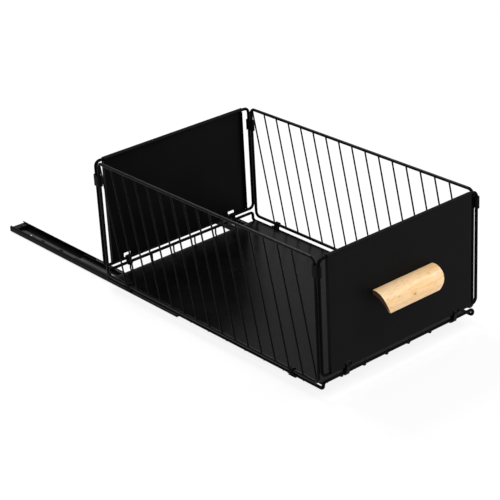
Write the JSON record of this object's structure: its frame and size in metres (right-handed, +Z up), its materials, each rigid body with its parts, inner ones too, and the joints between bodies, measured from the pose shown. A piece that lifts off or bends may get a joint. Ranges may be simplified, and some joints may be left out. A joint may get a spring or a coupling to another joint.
{
  "type": "pull out cabinet basket",
  "caption": "Black wire basket with sheet metal front and rear, slanted side wires and a wooden handle, on two ball bearing slides screwed to a cabinet floor.",
  "frame": {"origin": "on the cabinet floor, midway between the two slides, at the front ends of the fixed rails", "axes": "+X across the basket, +Y from the handle to the rear along the slides, +Z up"},
  "size_m": [0.2882, 0.7427, 0.1968],
  "materials": {
    "black_wire": "satin black powder coat",
    "black_sheet": "satin black powder coat",
    "black_rail": "black electrophoretic coat",
    "black_plastic": "matt moulded nylon",
    "bright_steel": "zinc plated",
    "ball_steel": "polished",
    "beech": "clear matt lacquer"
  },
  "bodies": {
    "fixed_rails": {"left_outer_rail": "black_rail", "left_rear_stop": "black_plastic", "left_front_foot": "black_plastic", "right_outer_rail": "black_rail", "right_rear_stop": "black_plastic", "right_front_foot": "black_plastic"},
    "left_lower_cage": {"left_lower_cage": "bright_steel", "left_lower_balls": "ball_steel"},
    "left_middle_rail": {"left_middle_rail": "black_rail"},
    "left_upper_cage": {"left_upper_cage": "bright_steel", "left_upper_balls": "ball_steel"},
    "right_lower_cage": {"right_lower_cage": "bright_steel", "right_lower_balls": "ball_steel"},
    "right_middle_rail": {"right_middle_rail": "black_rail"},
    "right_upper_cage": {"right_upper_cage": "bright_steel", "right_upper_balls": "ball_steel"},
    "basket": {"left_inner_rail": "black_rail", "left_front_bracket": "black_rail", "left_rear_bracket": "black_rail", "left_side_panel": "black_wire", "left_front_corner_clip": "black_plastic", "left_rear_corner_clip": "black_plastic", "left_side_clips": "black_plastic", "right_inner_rail": "black_rail", "right_front_bracket": "black_rail", "right_rear_bracket": "black_rail", "right_side_panel": "black_wire", "right_front_corner_clip": "black_plastic", "right_rear_corner_clip": "black_plastic", "right_side_clips": "black_plastic", "bracket_rivets": "bright_steel", "base_rim": "black_wire", "cross_wires": "black_wire", "long_wires": "black_wire", "floor_plate": "black_sheet", "front_frame": "black_wire", "rear_frame": "black_wire", "front_sheet": "black_sheet", "rear_sheet": "black_sheet", "front_bottom_clips": "black_plastic", "rear_bottom_clips": "black_plastic", "handle": "beech", "handle_screws": "bright_steel"}
  },
  "joints": [
    {"name": "basket_slide", "type": "slide", "parent": "fixed_rails", "child": "basket", "axis": [0, -1, 0], "range_m": [-0.286, 0.1]},
    {"name": "left_lower_cage_slide", "type": "slide", "parent": "fixed_rails", "child": "left_lower_cage", "axis": [0, -1, 0], "range_m": [-0.0715, 0.025]},
    {"name": "left_middle_rail_slide", "type": "slide", "parent": "fixed_rails", "child": "left_middle_rail", "axis": [0, -1, 0], "range_m": [-0.143, 0.05]},
    {"name": "left_upper_cage_slide", "type": "slide", "parent": "fixed_rails", "child": "left_upper_cage", "axis": [0, -1, 0], "range_m": [-0.2145, 0.075]},
    {"name": "right_lower_cage_slide", "type": "slide", "parent": "fixed_rails", "child": "right_lower_cage", "axis": [0, -1, 0], "range_m": [-0.0715, 0.025]},
    {"name": "right_middle_rail_slide", "type": "slide", "parent": "fixed_rails", "child": "right_middle_rail", "axis": [0, -1, 0], "range_m": [-0.143, 0.05]},
    {"name": "right_upper_cage_slide", "type": "slide", "parent": "fixed_rails", "child": "right_upper_cage", "axis": [0, -1, 0], "range_m": [-0.2145, 0.075]}
  ],
  "couplings": [
    {"joint": "left_lower_cage_slide", "follows": "basket_slide", "ratio": 0.25},
    {"joint": "left_middle_rail_slide", "follows": "basket_slide", "ratio": 0.5},
    {"joint": "left_upper_cage_slide", "follows": "basket_slide", "ratio": 0.75},
    {"joint": "right_lower_cage_slide", "follows": "basket_slide", "ratio": 0.25},
    {"joint": "right_middle_rail_slide", "follows": "basket_slide", "ratio": 0.5},
    {"joint": "right_upper_cage_slide", "follows": "basket_slide", "ratio": 0.75}
  ]
}
